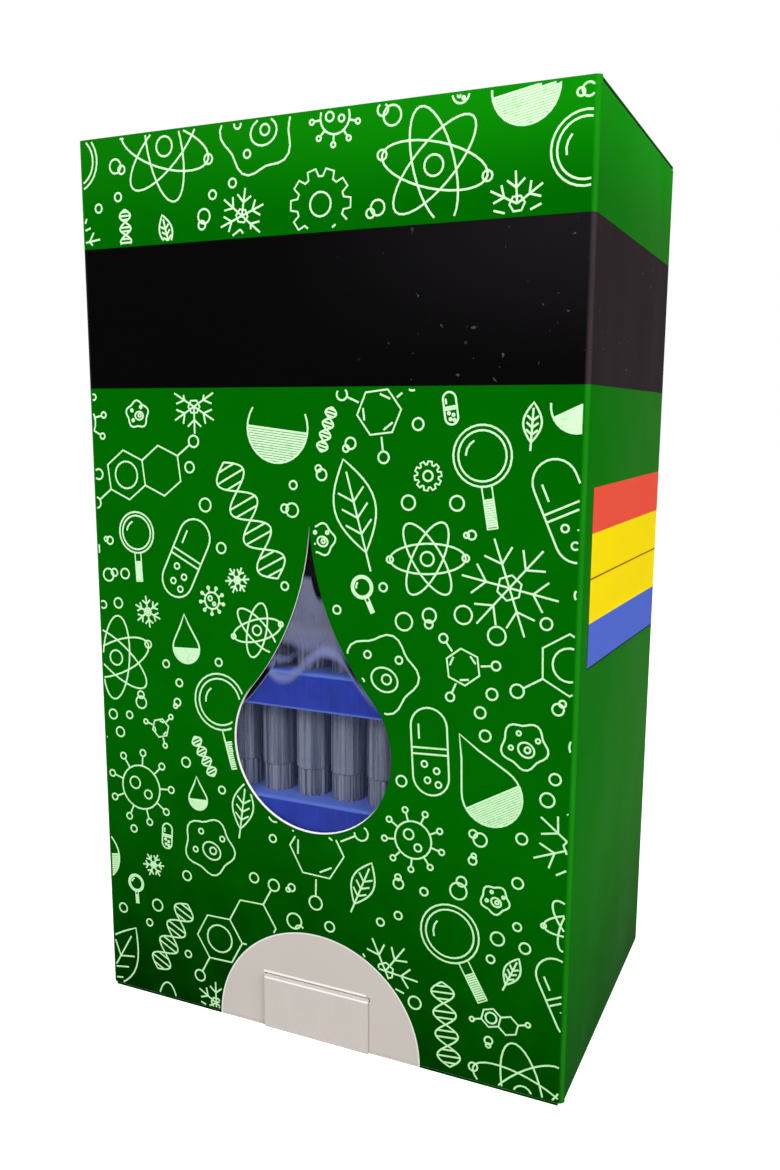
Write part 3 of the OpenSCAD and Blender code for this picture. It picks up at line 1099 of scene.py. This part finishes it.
bpy.ops.object.mode_set(mode="OBJECT")
for vertex in mesh.vertices:
    vertex.select = cut_away(vertex.co.x, vertex.co.z)
edit("VERT")
bpy.ops.mesh.delete(type="VERT")
bpy.ops.object.mode_set(mode="OBJECT")
print("after trimming:", len(mesh.edges), "edges")

# %% [markdown]
# The wires become pen strokes: turned into a curve they can be given a round section as wide
# as the pen, and turned back into a mesh they are pressed flat onto the wall. Half of each
# stroke's thickness stands proud of the varnish.

# %% Press the strokes onto the wall
pen_width = 0.42
flattened = 0.12
deselect()
drawing.select_set(True)
bpy.context.view_layer.objects.active = drawing
bpy.ops.object.convert(target="CURVE")
drawing = bpy.context.object
drawing.data.bevel_depth = pen_width / 2
drawing.data.bevel_resolution = 0
drawing.data.use_fill_caps = True
bpy.ops.object.convert(target="MESH")
drawing = bpy.context.object
drawing.data.transform(
    Matrix.Translation((0, -half_depth * MM, 0)) @ Matrix.Diagonal((MM, flattened * MM, MM, 1))
)
drawing.name = "print_front"
print("strokes:", len(drawing.data.polygons), "faces")

# %% [markdown]
# White ink over green lets a little of the green through, and more where it is thin and
# towards the foot. The strokes ride with the carton's board.

# %% Ink finish
INK_FOOT = paint(194, 244, 184)
INK_TOP = paint(212, 248, 204)
INK_THIN = paint(180, 228, 170)


def ink_finish():
    """White ink with thin places, a little greener towards the foot."""
    material, shader, place = start_finish("white_ink", Specular_IOR_Level=INK_GLOSS)
    cover = place.noise(0.8, 3.0)
    tone = place.parts()[2].ramp(-20, 150).mix(INK_FOOT, INK_TOP)
    feed(shader, "Base Color", cover.ramp(0.2, 0.5).mix(INK_THIN, tone))
    feed(shader, "Roughness", cover * 0.1 + 0.36)
    return material


drawing.data.materials.clear()
drawing.data.materials.append(ink_finish())
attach(drawing, "carton")
print(drawing.name, "rides on the carton")

# %% [markdown]
# ## Floor and light
# The carton stands on a plain white sheet in a white room. What the camera sees of the sheet
# and of the room is nudged up to white, while the light they throw back on the carton stays
# low.

# %% Floor
def looked_at(tree):
    """1 where the camera, a reflection or a clear wall looks, and 0 for plain light."""
    rays = tree.nodes.new("ShaderNodeLightPath").outputs
    return Wire(rays["Is Camera Ray"]).most(Wire(rays["Is Glossy Ray"])).most(
        Wire(rays["Is Transmission Ray"]))


def matt(shader, grey):
    """Sets a shader to a dull grey."""
    shader.inputs["Base Color"].default_value = (grey, grey, grey, 1)
    shader.inputs["Roughness"].default_value = 0.9
    shader.inputs["Specular IOR Level"].default_value = 0.0


deselect()
bpy.ops.mesh.primitive_plane_add(size=8)
floor = bpy.context.object
floor.name = "floor"
floor_paint = bpy.data.materials.new("floor_paint")
floor_paint.use_nodes = True
tree = floor_paint.node_tree
plain = tree.nodes["Principled BSDF"]
matt(plain, 0.5)
lifted = tree.nodes.new("ShaderNodeBsdfPrincipled")
matt(lifted, 0.86)
lifted.inputs["Emission Color"].default_value = (1, 1, 1, 1)
lifted.inputs["Emission Strength"].default_value = 0.78
show(tree, looked_at(tree), plain, lifted)
floor.data.materials.append(floor_paint)
print("floor laid")

# %% Room
world = bpy.data.worlds.new("room")
bpy.context.scene.world = world
world.use_nodes = True
sky = world.node_tree
glow = sky.nodes["Background"]
glow.inputs["Color"].default_value = (1, 1, 1, 1)
glow.inputs["Strength"].default_value = 0.3
white = sky.nodes.new("ShaderNodeBackground")
white.inputs["Color"].default_value = (1, 1, 1, 1)
white.inputs["Strength"].default_value = 1.0
show(sky, looked_at(sky), glow, white)
print("room ready")

# %% [markdown]
# Three round soft lamps light it. The key lamp is high and in front, so the upper part of the
# front is the brightest; one from the right lights the narrow wall, and a weak one from
# behind keeps the back from going black.

# %% Lamps
def soft_lamp(name, at, towards, size, watts):
    """A round lamp that looks at a point."""
    lamp = bpy.data.objects.new(name, bpy.data.lights.new(name, "AREA"))
    bpy.context.scene.collection.objects.link(lamp)
    lamp.data.shape = "DISK"
    lamp.data.size = size
    lamp.data.energy = watts
    lamp.location = at
    lamp.rotation_euler = (Vector(towards) - Vector(at)).to_track_quat("-Z", "Y").to_euler()


soft_lamp("key_lamp", (-0.1, -0.5, 0.58), (0, 0, 0.16), 0.4, 3.3)
soft_lamp("side_lamp", (0.75, -0.3, 0.5), (0.05, 0, 0.14), 0.5, 5.4)
soft_lamp("back_lamp", (-0.5, 0.7, 0.8), (0, 0, 0.1), 0.6, 2.0)
scene = bpy.context.scene
scene.view_settings.view_transform = "Standard"

# %% [markdown]
# Last, the scene stands complete: the dressed solids, the print, the floor, the room and the lamps.

# %% End of the scene
print("scene ready")
